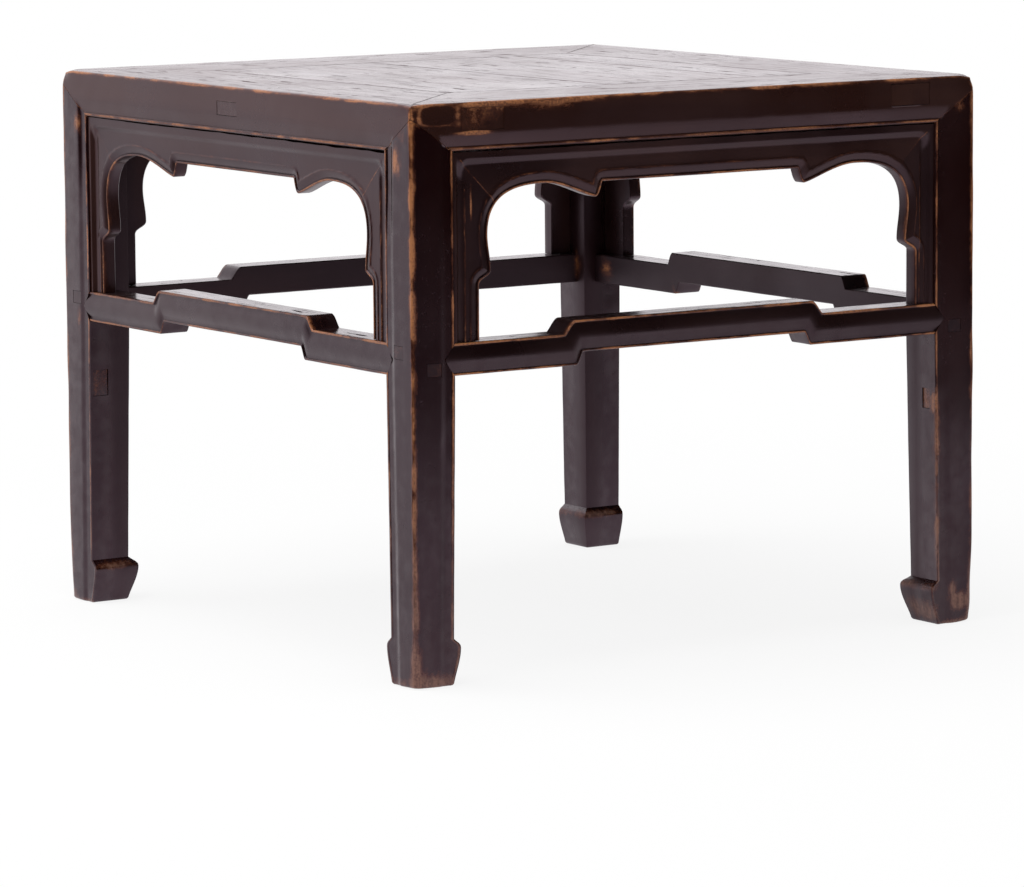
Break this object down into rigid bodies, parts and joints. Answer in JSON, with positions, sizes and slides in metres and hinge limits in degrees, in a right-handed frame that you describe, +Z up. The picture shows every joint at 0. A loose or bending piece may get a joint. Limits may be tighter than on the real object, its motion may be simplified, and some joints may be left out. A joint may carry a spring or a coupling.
{
  "type": "side table",
  "caption": "Low square side table with a flush framed top, cusped aprons, humpback stretchers and hoof feet, in dark lacquered wood; holds things on its top.",
  "frame": {"origin": "on the floor under the centre of the table", "axes": "+Z up; +X along the front from the left leg to the right leg; +Y from the front to the back"},
  "size_m": [0.6, 0.6, 0.4955],
  "materials": {
    "leg_lacquer": "brown-black lacquer, semi-gloss, worn to the wood on its edges",
    "rail_lacquer": "brown-black lacquer, semi-gloss, worn to the wood on its edges",
    "board_lacquer": "worn brown-black lacquer with open grain, dents and cracks",
    "apron_lacquer": "brown-black lacquer, semi-gloss",
    "stretcher_lacquer": "brown-black lacquer, semi-gloss, worn on top",
    "batten_wood": "thinly stained wood, matt"
  },
  "bodies": {
    "root": {"leg_front_left": "leg_lacquer", "leg_front_right": "leg_lacquer", "leg_back_right": "leg_lacquer", "leg_back_left": "leg_lacquer", "top_rail_front": "rail_lacquer", "apron_front": "apron_lacquer", "apron_strip_front_left": "apron_lacquer", "apron_strip_front_right": "apron_lacquer", "stretcher_front": "stretcher_lacquer", "top_rail_right": "rail_lacquer", "apron_right": "apron_lacquer", "apron_strip_right_front": "apron_lacquer", "apron_strip_right_back": "apron_lacquer", "stretcher_right": "stretcher_lacquer", "top_rail_back": "rail_lacquer", "apron_back": "apron_lacquer", "apron_strip_back_right": "apron_lacquer", "apron_strip_back_left": "apron_lacquer", "stretcher_back": "stretcher_lacquer", "top_rail_left": "rail_lacquer", "apron_left": "apron_lacquer", "apron_strip_left_back": "apron_lacquer", "apron_strip_left_front": "apron_lacquer", "stretcher_left": "stretcher_lacquer", "top_board_left": "board_lacquer", "top_board_middle": "board_lacquer", "top_board_right": "board_lacquer", "panel_batten": "batten_wood"}
  },
  "joints": []
}
